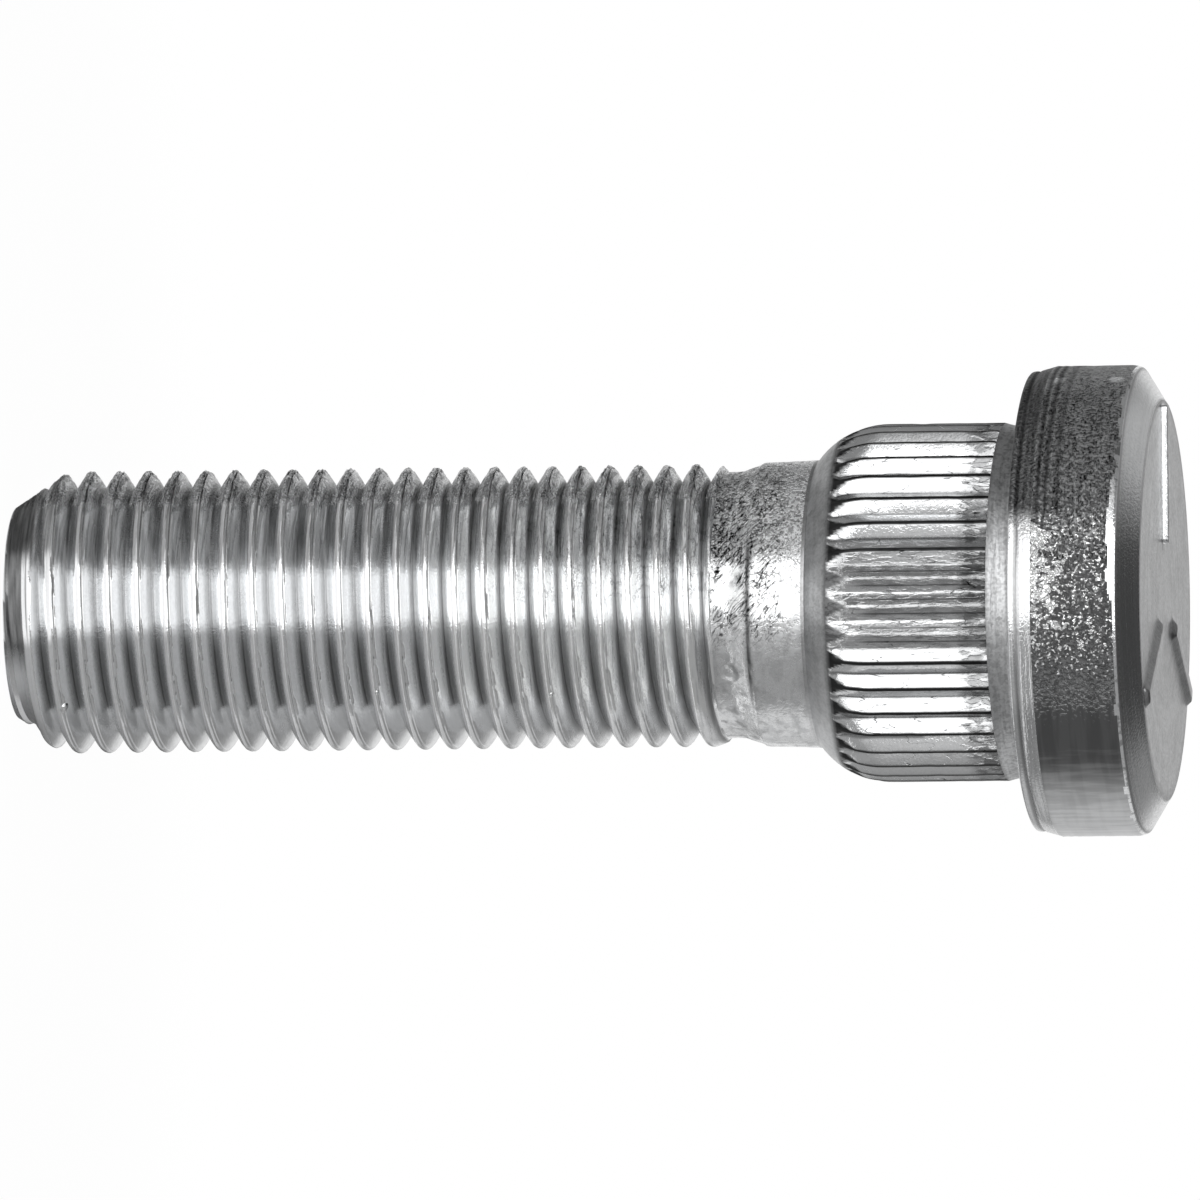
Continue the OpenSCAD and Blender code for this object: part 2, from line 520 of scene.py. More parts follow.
@dataclass
class SerratedShoulder(Section):
    """The rounded lead-in and the V-shaped teeth of the press fit."""

    teeth: int = 39
    crest_angle: float = 3.407
    crest_r: float = 7.8
    groove_depth: float = 0.5
    lead_r: float = 3.7
    lead_z: float = 38.44
    neck_r: float = 6.272
    end_z: float = 43.5
    wall_z: float = 43.6
    # How much darker the square end wall of the teeth is
    wall_darkening: float = 0.3
    cone_h: float = 0.65
    band_r: float = 7.65
    rows: int = 26
    smooth_rows: int = 6
    claw_rows: int = 11
    worn_half: float = 17.0
    worn_left: float = 0.62
    worn_to: float = 24.0
    worn_ramp: float = 18.0
    crest_wear: float = 0.035
    chatter: float = 0.012
    # Darker front ends of the teeth, painted shade on the flanks of teeth far from -Y, and darker
    # teeth next to the head
    front_slant: float = 0.85
    front_darkening: float = 0.8
    tongue_z: Ramp = (37.6, 38.6)
    tongue_waver: float = 1.5
    flank_shade: float = 0.55
    flank_past: Ramp = (28.0, 36.0)
    end_darkening: float = 0.4
    end_darkening_z: Ramp = (42.0, 42.6)
    shares: tuple[float, ...] = (
        -0.466, -0.38, -0.3, -0.25, -0.2, -0.1, -0.048, 0.048, 0.1, 0.2, 0.25, 0.3, 0.38, 0.466,
    )
    # Painted shade across each tooth, column by column from groove floor over the crest: on unworn
    # teeth, and on the worn teeth facing -Y
    unworn_teeth_shade: tuple[float, ...] = (
        0.6, 0.0, 0.0, 0.0, 0.0, 0.1, 1.0, 1.0, 0.1, 0.0, 0.0, 0.0, 0.0, 0.6,
    )
    worn_teeth_shade: tuple[float, ...] = (
        0.2, 0.1, 0.25, 0.88, 0.3, 0.35, 0.5, 0.5, 0.35, 0.3, 0.88, 0.25, 0.1, 0.2,
    )

    def angles(self) -> list[float]:
        """Return the degrees of every column, tooth by tooth."""
        one = FULL_TURN / self.teeth
        return [self.crest_angle + (t + s) * one for t in range(self.teeth) for s in self.shares]

    def arc_z(self, radius: float) -> float:
        """Return the height at which the lead-in arc reaches a radius."""
        inner = self.crest_r - self.lead_r
        return self.lead_z - math.sqrt(self.lead_r**2 - (radius - inner) ** 2)

    def lead(self, height: float) -> float:
        """Give the radius of the body that the teeth are cut from.

        Args:
            height: Height above the threaded end.

        Returns:
            The radius on the lead-in arc or over the teeth.
        """
        if height >= self.lead_z:
            return blend(self.crest_r, self.band_r, clamp((height - self.end_z) / self.cone_h))
        below = self.lead_z - height
        return self.crest_r - self.lead_r + math.sqrt(max(self.lead_r**2 - below**2, 0.0))

    def tooth(self, number: int, share: float, height: float) -> float:
        """Give the radius of the V-shaped teeth.

        Args:
            number: Which tooth.
            share: Place across the tooth, 0 at its crest and 0.5 in the groove.
            height: Height above the threaded end.

        Returns:
            The radius of the tooth or groove.
        """
        edge, floor_edge = abs(self.shares[6]), abs(self.shares[0])
        down = clamp((abs(share) - edge) / (floor_edge - edge))
        shift = rough(number * 1.7, height * 0.45, 0.0, Seed.GROOVE_DEPTH)
        begin = self.claws() + 0.14 * rough(number * 1.9, 0.0, 0.0, Seed.CLAW)
        reach = ease(height, begin - 0.05, begin + 0.45)
        reach *= 0.55 + 0.45 * ease(height, begin, self.lead_z)
        away = abs(self.below_front(number)) - self.worn_to
        left = blend(self.worn_left, 1.0, clamp(away / self.worn_ramp))
        depth = self.groove_depth * (1.0 - 0.08 * abs(shift)) * left * reach
        pitted = max(0.0, rough(number * 2.3, height * 1.3, 0.0, Seed.TOOTH_WEAR))
        worn = self.crest_wear * pitted * (1.0 - down)
        chatter = self.chatter * rough(number * 3.1, height * 5.0, share * 6.0, Seed.CHATTER) * down
        return self.lead(height) - depth * down - worn - abs(chatter)

    def below_front(self, number: int) -> float:
        """Return by how many degrees a tooth lies past the -Y side, towards +X."""
        angle = self.crest_angle + number * FULL_TURN / self.teeth
        return (angle - 90.0) % FULL_TURN - 180.0

    def claws(self) -> float:
        """Return the height at which the grooves begin on the lead-in arc."""
        return self.arc_z(self.crest_r - self.groove_depth)

    def grime_and_shade(self, number: int, column: int, height: float, cut: bool) -> float:
        """Tell how dark a tooth is painted, mostly as painted shade across it and on its flanks.

        Args:
            number: Which tooth.
            column: Which of the tooth's columns.
            height: Height above the threaded end.
            cut: Whether the point lies in a groove.

        Returns:
            A share from 0, bright, to 1, darkest.
        """
        past = self.below_front(number)
        worn = abs(past) < self.worn_half
        share = self.shares[column]
        slant = self.claws() + self.front_slant * (1.0 - abs(share) / 0.34)
        front = fall(height, slant, slant + 0.12)
        if worn:
            low, high = self.tongue_z
            waver = self.tongue_waver * rough(number * 2.7, 0.0, 0.0, Seed.TONGUE)
            tongue = blend(0.25, 1.0, ease(height, low, high + waver))
            dull_and_shade = max(self.worn_teeth_shade[column] * tongue, self.front_darkening * front)
        else:
            dull_and_shade = max(self.unworn_teeth_shade[column], front)
            if share * past > 0.0 and abs(share) < 0.4:
                dull_and_shade = max(dull_and_shade, self.flank_shade * ease(abs(past), *self.flank_past))
        # Darker on the uncut lead-in between the grooves' tips, much less on the worn teeth facing
        # -Y
        if not cut and height < self.lead_z:
            dull_and_shade = max(dull_and_shade, 0.2 if worn else 0.9)
        return max(dull_and_shade, self.end_darkening * ease(height, *self.end_darkening_z))

    def build(self) -> None:
        """Add the lead-in, the teeth and their square end."""
        claws = self.claws()
        heights = steps(self.arc_z(self.neck_r), claws - 0.06, self.smooth_rows)
        heights += [blend(claws, self.lead_z, s**1.3) for s in steps(0, 1, self.claw_rows)[1:]]
        heights += steps(self.lead_z, self.end_z, self.rows)[1:] + [self.wall_z - 0.01]
        for row, height in enumerate(heights):
            body = self.lead(height)
            front = self.front_darkening if row >= self.smooth_rows - 1 else 0.0
            ring = []
            for t in range(self.teeth):
                for column, share in enumerate(self.shares):
                    angle = self.crest_angle + (t + share) * FULL_TURN / self.teeth
                    radius = min(body, self.tooth(t, share, height))
                    dull_and_shade = front
                    if height > claws + 0.02:
                        dull_and_shade = self.grime_and_shade(t, column, height, radius < body - 0.01)
                    ring.append(self.draft.point(angle, radius, height, dull_and_shade))
            self.draft.grow(ring, Zone.LEAD_IN if row < self.smooth_rows else Zone.TEETH)
        wall_r = self.lead(self.wall_z)
        wall = self.draft.ring(self.angles(), wall_r, self.wall_z, self.wall_darkening)
        self.draft.grow(wall, Zone.TEETH)


@dataclass
class Head(Section):
    """The smooth band, the rolled lip, the rim, the chamfer and the outer face."""

    columns: int = 234
    first_angle: float = -0.9
    face_z: float = 50.45
    bars: int = 3
    bar_wear: tuple[float, ...] = (0.0, 0.45, 0.45)
    bar_width: float = 0.8
    bar_height: float = 0.25
    bar_corner: float = 0.16
    least_corner: float = 0.06
    face_gap: float = 0.42
    face_rings: tuple[float, ...] = tuple(steps(8.2, 0.6, 12))
    face_density: float = 12.0
    face_dip: float = 0.02
    bar_from: float = 2.5
    bar_to: float = 8.5
    band: Outline = (
        (43.75, 7.735, 0.0), (43.95, 7.69, 0.0), (44.15, 7.655, 0.0), (44.36, 7.64, 0.0),
        (44.44, 7.66, 0.0), (44.56, 7.71, 0.05), (44.67, 7.81, 0.1), (44.75, 7.93, 0.1),
        (44.79, 8.05, 0.1), (44.8, 8.2, 0.1), (44.8, 9.0, 0.1), (44.8, 9.7, 0.1),
    )
    lip: Outline = (
        (44.812, 9.88, 0.0), (44.835, 9.96, 0.0), (44.87, 10.0, 0.0), (44.93, 10.015, 0.0),
        (45.02, 10.02, 0.0), (45.07, 10.01, 0.3), (45.12, 9.99, 0.6), (45.19, 9.99, 0.6),
        (45.24, 10.02, 0.3), (45.28, 10.06, 0.0), (45.4, 10.095, 0.0), (45.56, 10.14, 0.0),
        (45.74, 10.19, 0.0), (45.86, 10.22, 0.0),
    )
    rim: Outline = (
        (45.92, 10.244, 0.0), (46.06, 10.232, -0.9), (46.12, 10.232, -0.9), (46.24, 10.244, 0.0),
        (46.4, 10.23, -0.9), (46.46, 10.23, -0.9), (46.6, 10.244, 0.0), (46.9, 10.24, -0.6),
        (46.96, 10.24, -0.6), (47.1, 10.244, 0.0), (47.5, 10.24, 0.0), (48.0, 10.244, 0.0),
        (48.5, 10.24, 0.0), (48.9, 10.244, 0.0), (49.16, 10.244, 0.0),
    )
    edge: Outline = (
        (49.25, 10.235, 0.0), (49.34, 10.217, 0.0), (49.44, 10.195, 0.0), (49.54, 10.165, 0.0),
        (49.57, 10.14, 0.2),
    )
    edge_rows: tuple[float, ...] = (1.0, 0.65, 0.45, 0.0, 0.0)
    groove_side: Ramp = (-0.5, -0.2)
    wide_from: Ramp = (-0.56, -0.5)
    wide_to: Ramp = (-0.1, 0.05)
    chamfer: Outline = (
        (49.61, 10.09, 0.6), (49.68, 9.98, 0.1), (49.8, 9.78, 0.0), (50.0, 9.46, 0.0),
        (50.2, 9.13, 0.0), (50.34, 8.9, 0.0), (50.41, 8.8, 0.0), (50.44, 8.755, 0.5),
        (50.45, 8.72, 0.2),
    )

    def angles(self) -> list[float]:
        """Return the degrees of every column."""
        return columns_of(self.columns, self.first_angle)

    def course(self, outline: Outline, zone: Zone, wobble: float) -> None:
        """Add rings along one stretch of the outline.

        Args:
            outline: Height, radius and painted shade of each ring, at creases and corners; a
            shade under 0 is that of a groove, painted only towards the -X side.
            zone: Their finish.
            wobble: How far the forged surface dips under the outline.
        """
        for height, radius, grime_and_shade in outline:
            ring = []
            for a in self.angles():
                dip = wobble * abs(rough(a / 14, height * 1.5, 0.0, Seed.FORGED))
                dull_and_shade = grime_and_shade if grime_and_shade >= 0.0 else -grime_and_shade * fall(cosd(a), *self.groove_side)
                ring.append(self.draft.point(a, radius - dip, height, dull_and_shade))
            self.draft.grow(ring, zone)

    def bright_edge(self) -> None:
        """Round the rim over to the chamfer, with a painted highlight of the bright edge finish,
        widest on one side.
        """
        draft, angles = self.draft, self.angles()
        for (height, radius, grime_and_shade), need in zip(self.edge, self.edge_rows):
            low, high = draft.end, draft.ring(angles, radius, height, grime_and_shade)
            for a, corners in zip(angles, quads(low, high)):
                # The painted highlight widens on the -Y half, between the sides given by wide_from
                # and wide_to, and varies around
                side = cosd(a) if math.sin(math.radians(a)) < 0 else 1.0
                wide = ease(side, *self.wide_from) * fall(side, *self.wide_to)
                wide = max(wide, 0.3) + 0.5 * rough(a / 5.0, height * 1.5, 0.0, Seed.EDGE_HIGHLIGHT)
                draft.face(corners, Zone.EDGE if wide > need else Zone.RIM)
            draft.end = high

    def bar_outline(self, grow: float, height: float) -> list[Point]:
        """Draw one rounded outline of a bar that points to +X.

        Args:
            grow: How far the outline stands outside the bar.
            height: Height of the outline.

        Returns:
            Its points, counter-clockwise seen from above.
        """
        corner = max(self.bar_corner + grow, self.least_corner)
        half = self.bar_width / 2 + grow - corner
        near, far = self.bar_from - grow + corner, self.bar_to + min(grow, 0.04) - corner
        points: list[Point] = []
        corners = ((far, -half, -90), (far, half, 0), (near, half, 90), (near, -half, 180))
        for x, y, begin in corners:
            for turn in steps(begin, begin + 90, 5):
                a = math.radians(turn)
                points.append((x + corner * math.cos(a), y + corner * math.sin(a), height))
            if begin in (0, 180):
                y, end = (half + corner, near) if begin == 0 else (-half - corner, far)
                points.extend((blend(x, end, s), y, height) for s in steps(0.0, 1.0, 9)[1:-1])
        return points

    def bar(self, direction: float, wear: float) -> list[int]:
        """Raise one plain bar from the face.

        Args:
            direction: Degrees from +X at which it lies.
            wear: How far its walls lean, in millimetres.

        Returns:
            The ring on which it meets the face.
        """
        turn = Matrix.Rotation(math.radians(direction), 4, "Z")
        levels = (
            (0.04 + 0.6 * wear, 0.0), (0.005 + 0.45 * wear, 0.02), (0.3 * wear, 0.05),
            (-0.2 * wear, self.bar_height - 0.03), (-0.02 - 0.3 * wear, self.bar_height - 0.005),
            (-0.06 - 0.3 * wear, self.bar_height),
        )
        draft = self.draft
        rings = []
        for grow, rise in levels:
            outline = self.bar_outline(grow, self.face_z + rise)
            rings.append([draft.spot(*(turn @ Vector(p))) for p in outline])
            if len(rings) > 1:
                # The walls of the bar that doesn't lean take the painted highlight of the edge
                # finish
                bright_walls = not wear and rise <= self.bar_height - 0.01
                draft.strip(*rings[-2:], Zone.EDGE if bright_walls else Zone.FACE)
        middle = (self.bar_from + self.bar_to) / 2, 0.0, self.face_z + self.bar_height
        draft.fan(rings[-1], draft.spot(*(turn @ Vector(middle))), Zone.FACE)
        return rings[0]

    def near_bar(self, x: float, y: float) -> bool:
        """Tell whether a place on the face is under a bar or close to it.

        Args:
            x: Place along X.
            y: Place along Y.

        Returns:
            True where a bar is that near.
        """
        margin = self.face_gap
        for k in range(self.bars):
            turn = math.radians(-(180 + FULL_TURN * k / self.bars))
            u = x * math.cos(turn) - y * math.sin(turn)
            v = x * math.sin(turn) + y * math.cos(turn)
            within = self.bar_from - margin < u < self.bar_to + margin
            if within and abs(v) < self.bar_width / 2 + margin:
                return True
        return False

    def face(self) -> None:
        """Close the outer face around its raised bars."""
        draft = self.draft
        numbers = list(draft.end)
        edges = [(j, (j + 1) % len(numbers)) for j in range(len(numbers))]
        feet: list[set[int]] = []
        for k in range(self.bars):
            foot = self.bar(180 + FULL_TURN * k / self.bars, self.bar_wear[k])
            first = len(numbers)
            edges += [(first + j, first + (j + 1) % len(foot)) for j in range(len(foot))]
            numbers += foot
            feet.append(set(foot))
        for r in self.face_rings:
            count = max(8, round(r * self.face_density))
            for j in range(count):
                a = 2 * math.pi * j / count
                x, y = r * math.cos(a), r * math.sin(a)
                if not self.near_bar(x, y):
                    dip = self.face_dip * abs(rough(x / 2.5, y / 2.5, 0.0, Seed.FACE_DIP))
                    numbers.append(draft.spot(x, y, self.face_z - dip))
        flat = [Vector(draft.points[n][:2]) for n in numbers]
        _, _, triangles, origin, _, _ = delaunay_2d_cdt(flat, edges, [], 0, 1e-5)
        for triangle in triangles:
            corners = tuple(numbers[origin[c][0]] for c in triangle)
            if not any(foot.issuperset(corners) for foot in feet):
                draft.face(corners, Zone.FACE)

    def build(self) -> None:
        """Add the head, from the band to the outer face."""
        self.course(self.band, Zone.BAND, wobble=0.004)
        self.course(self.lip, Zone.LIP, wobble=0.012)
        self.course(self.rim, Zone.RIM, wobble=0.02)
        self.bright_edge()
        self.course(self.chamfer, Zone.CHAMFER, wobble=0.006)
        self.face()


@dataclass(frozen=True)
class Layer:
    """One layer of a finish: a mask from noise, and what it does to the skin."""

    pattern: Pattern
    stretch: Point = (1.0, 1.0, 1.0)
    low: float = 0.0
    high: float = 1.0
    tone: float = 0.0
    relief: float = 0.0
    gloss: float = 0.0
    detail: float = 2.0
    distortion: float = 0.0
    lean: float = 0.0
    fade: tuple[Fade, ...] = ()


def cloud(
    around: float, along: float, low: float, high: float, *fade: Fade, **looks: object,
) -> Layer:
    """Return a layer of patches, so many to the metre around and along the axis."""
    return Layer(Pattern.CLOUD, (around, around, along), low, high, fade=fade, **looks)


def lines(stretch: Point, width: float, *fade: Fade, **looks: object) -> Layer:
    """Return a layer of fine lines, where the noise is within a width of its middle."""
    return Layer(Pattern.LINES, stretch, 0.0, width, fade=fade, **looks)


def grooves(count: float, **looks: object) -> Layer:
    """Return a layer of turning marks around the axis, so many to the metre."""
    return Layer(Pattern.RINGS, (count, count, count), 0.4, 0.6, **looks)


def cover(*fade: Fade, **looks: object) -> Layer:
    """Return a layer without noise, which only its fade limits."""
    return Layer(Pattern.WHOLE, fade=fade, **looks)


@dataclass(frozen=True)
class Mark:
    """A single nick or spot: its place and size in millimetres."""

    place: Point
    size: float
    tone: float
    relief: float
    gloss: float = 0.0


class NodeBench:
    """Adds nodes to the node tree of a material or world."""

    to_number: tuple[str, ...] = ("LENGTH", "DISTANCE", "DOT_PRODUCT")
    map_inputs: tuple[str, ...] = ("Value", "From Min", "From Max", "To Min", "To Max")
    ring_waver: Point = (0.02, 0.02, 0.02)
    cloud_cut: float = 0.25
    mark_core: float = 0.3

    def __init__(self, owner: bpy.types.Material | bpy.types.World, space: str) -> None:
        """Empty the owner's node tree and start it with coordinates.

        Args:
            owner: The material or world.
            space: Which output of the coordinates is used.
        """
        owner.use_nodes = True
        self.tree = owner.node_tree
        self.tree.nodes.clear()
        self.place = self.add("TexCoord").outputs[space]

    def add(
        self, kind: str, inputs: dict[int | str, object] | None = None, **settings: object,
    ) -> bpy.types.Node:
        """Add a node.

        Args:
            kind: The node's type, without ShaderNode.
            inputs: Output socket, number or tuple for each input that is set.
            settings: Attributes of the node.

        Returns:
            The node.
        """
        node = self.tree.nodes.new(f"ShaderNode{kind}")
        for name, value in settings.items():
            setattr(node, name, value)
        for key, value in (inputs or {}).items():
            if isinstance(value, Socket):
                self.tree.links.new(value, node.inputs[key])
            else:
                node.inputs[key].default_value = value
        return node

    def math(self, operation: str, first: object, second: object = 0.0) -> Socket:
        """Join two sockets or numbers with a Math node of that operation."""
        return self.add("Math", {0: first, 1: second}, operation=operation).outputs[0]

    def shift(self, base: object, mask: object, amount: object) -> Socket:
        """Add an amount to a value, as far as the mask goes."""
        return self.math("ADD", self.math("MULTIPLY", mask, amount), base)

    def vector(
        self, operation: str, first: object, second: object = (0.0, 0.0, 0.0),
    ) -> Socket:
        """Join two sockets or tuples with a Vector Math node of that operation."""
        node = self.add("VectorMath", {0: first, 1: second}, operation=operation)
        return node.outputs["Value" if operation in self.to_number else "Vector"]

    def span(
        self, value: object, low: float, high: float, to_low: float = 0.0, to_high: float = 1.0,
        kind: str = "SMOOTHSTEP",
    ) -> Socket:
        """Map the range from low to high to another one, smoothly or LINEAR."""
        ends = dict(zip(self.map_inputs, (value, low, high, to_low, to_high)))
        return self.add("MapRange", ends, interpolation_type=kind).outputs["Result"]

    def rays(self) -> tuple[Socket, Socket]:
        """Return masks for what the camera sees itself and for what it sees mirrored."""
        path = self.add("LightPath").outputs
        mirrored = self.math("MAXIMUM", path["Is Glossy Ray"], path["Is Transmission Ray"])
        return path["Is Camera Ray"], mirrored

    def window(self, fade: tuple[Fade, ...]) -> object:
        """Show where on the stud a layer lies.

        Args:
            fade: An axis, and where along it the layer is whole and where gone.

        Returns:
            1 where the layer is whole, falling to 0 where it is gone.
        """
        parts = self.add("SeparateXYZ", {0: self.place}).outputs
        weight: object = 1.0
        for axis, whole, gone in fade:
            part = self.span(parts[axis], whole * MM, gone * MM, 1.0, 0.0)
            weight = self.math("MULTIPLY", part, weight)
        return weight

    def spot(self, mark: Mark) -> Socket:
        """Return the mask of a mark."""
        away = self.vector("DISTANCE", self.place, tuple(c * MM for c in mark.place))
        return self.span(away, self.mark_core * mark.size * MM, mark.size * MM, 1.0, 0.0)

    def mask(self, layer: Layer) -> object:
        """Build a layer's mask.

        Args:
            layer: The layer.

        Returns:
            The mask, from 0 to 1.
        """
        if layer.pattern is Pattern.WHOLE:
            return self.window(layer.fade)
        where = self.place
        if layer.lean:
            turned = {"Vector": where, "Angle": math.radians(layer.lean)}
            where = self.add("VectorRotate", turned, rotation_type="Y_AXIS").outputs[0]
        if layer.pattern is Pattern.RINGS:
            reach = self.vector("LENGTH", self.vector("MULTIPLY", where, (1.0, 1.0, 0.0)))
            waver = self.vector("MULTIPLY", where, self.ring_waver)
            where = self.vector("ADD", self.add("CombineXYZ", {0: reach}).outputs[0], waver)
        where = self.vector("MULTIPLY", where, layer.stretch)
        value = self.add("TexNoise", {
            "Vector": where, "Scale": 1.0, "Detail": layer.detail, "Distortion": layer.distortion,
        }).outputs["Fac"]
        if layer.pattern is Pattern.LINES:
            value = self.math("ABSOLUTE", self.math("SUBTRACT", value, 0.5))
            if layer.fade:
                gone = self.math("SUBTRACT", 1.0, self.window(layer.fade))
                value = self.shift(value, gone, layer.high)
            return self.span(value, layer.low, layer.high, 1.0, 0.0)
        if not layer.fade:
            return self.span(value, layer.low, layer.high)
        window = self.window(layer.fade)
        value = self.shift(value, self.math("SUBTRACT", window, 1.0), self.cloud_cut)
        return self.math("MULTIPLY", self.span(value, layer.low, layer.high), window)


@dataclass(frozen=True)
class ZincFinish:
    """Bright zinc plating as it lies on one stretch of the stud."""

    tone: float
    roughness: float
    layers: tuple[Layer, ...]
    # How bright the colour stays where the mask of grime and painted shade is whole
    dull_and_shade: float = 0.3
    marks: tuple[Mark, ...] = ()
    edge_tint: float = 0.8
    grime_and_shade_gloss: float = 0.25
    tint: Point = (0.99, 1.0, 1.01)

    def material(self, name: str) -> bpy.types.Material:
        """Build the material.

        Args:
            name: The material's name.

        Returns:
            A material with the layers in its colour, gloss and relief.
        """
        material = bpy.data.materials.new(name)
        bench = NodeBench(material, "Object")
        values: dict[str, object] = {"tone": self.tone, "gloss": self.roughness, "relief": 0.0}
        masks = [(layer, bench.mask(layer)) for layer in self.layers]
        masks += [(mark, bench.spot(mark)) for mark in self.marks]
        for part, mask in masks:
            for key in values:
                if getattr(part, key):
                    values[key] = bench.shift(values[key], mask, getattr(part, key))
        # The per-point mask darkens the colour: partly grime, partly painted shade in grooves,
        # creases and towards one side
        grime_and_shade = bench.add("Attribute", attribute_name="grime_and_shade").outputs["Fac"]
        bright = bench.span(grime_and_shade, 0.0, 1.0, 1.0, self.dull_and_shade, "LINEAR")
        grey = bench.math("MULTIPLY", values["tone"], bright)
        grey = bench.span(grey, 0.0, 1.0, kind="LINEAR")
        colour = {i: bench.math("MULTIPLY", grey, share) for i, share in enumerate(self.tint)}
        bump = bench.add("Bump", {"Distance": MM, "Height": values["relief"]})
        shader = bench.add("BsdfPrincipled", {
            "Base Color": bench.add("CombineColor", colour).outputs[0],
            "Metallic": 1.0,
            "Specular Tint": (self.edge_tint, self.edge_tint, self.edge_tint, 1.0),
            "Roughness": bench.shift(values["gloss"], grime_and_shade, self.grime_and_shade_gloss),
            "Normal": bump.outputs[0],
        })
        bench.add("OutputMaterial", {"Surface": shader.outputs[0]})
        return material


# What several finishes share: the fine grain, and two fades, each as an axis and
# where along it a layer is whole and where gone
GRAIN = cloud(8000, 8000, 0.4, 0.62, tone=-0.06, relief=0.003, gloss=0.04)
UPPER = (0, -2.6, -0.6)
RIGHT = (2, 27.0, 14.0)

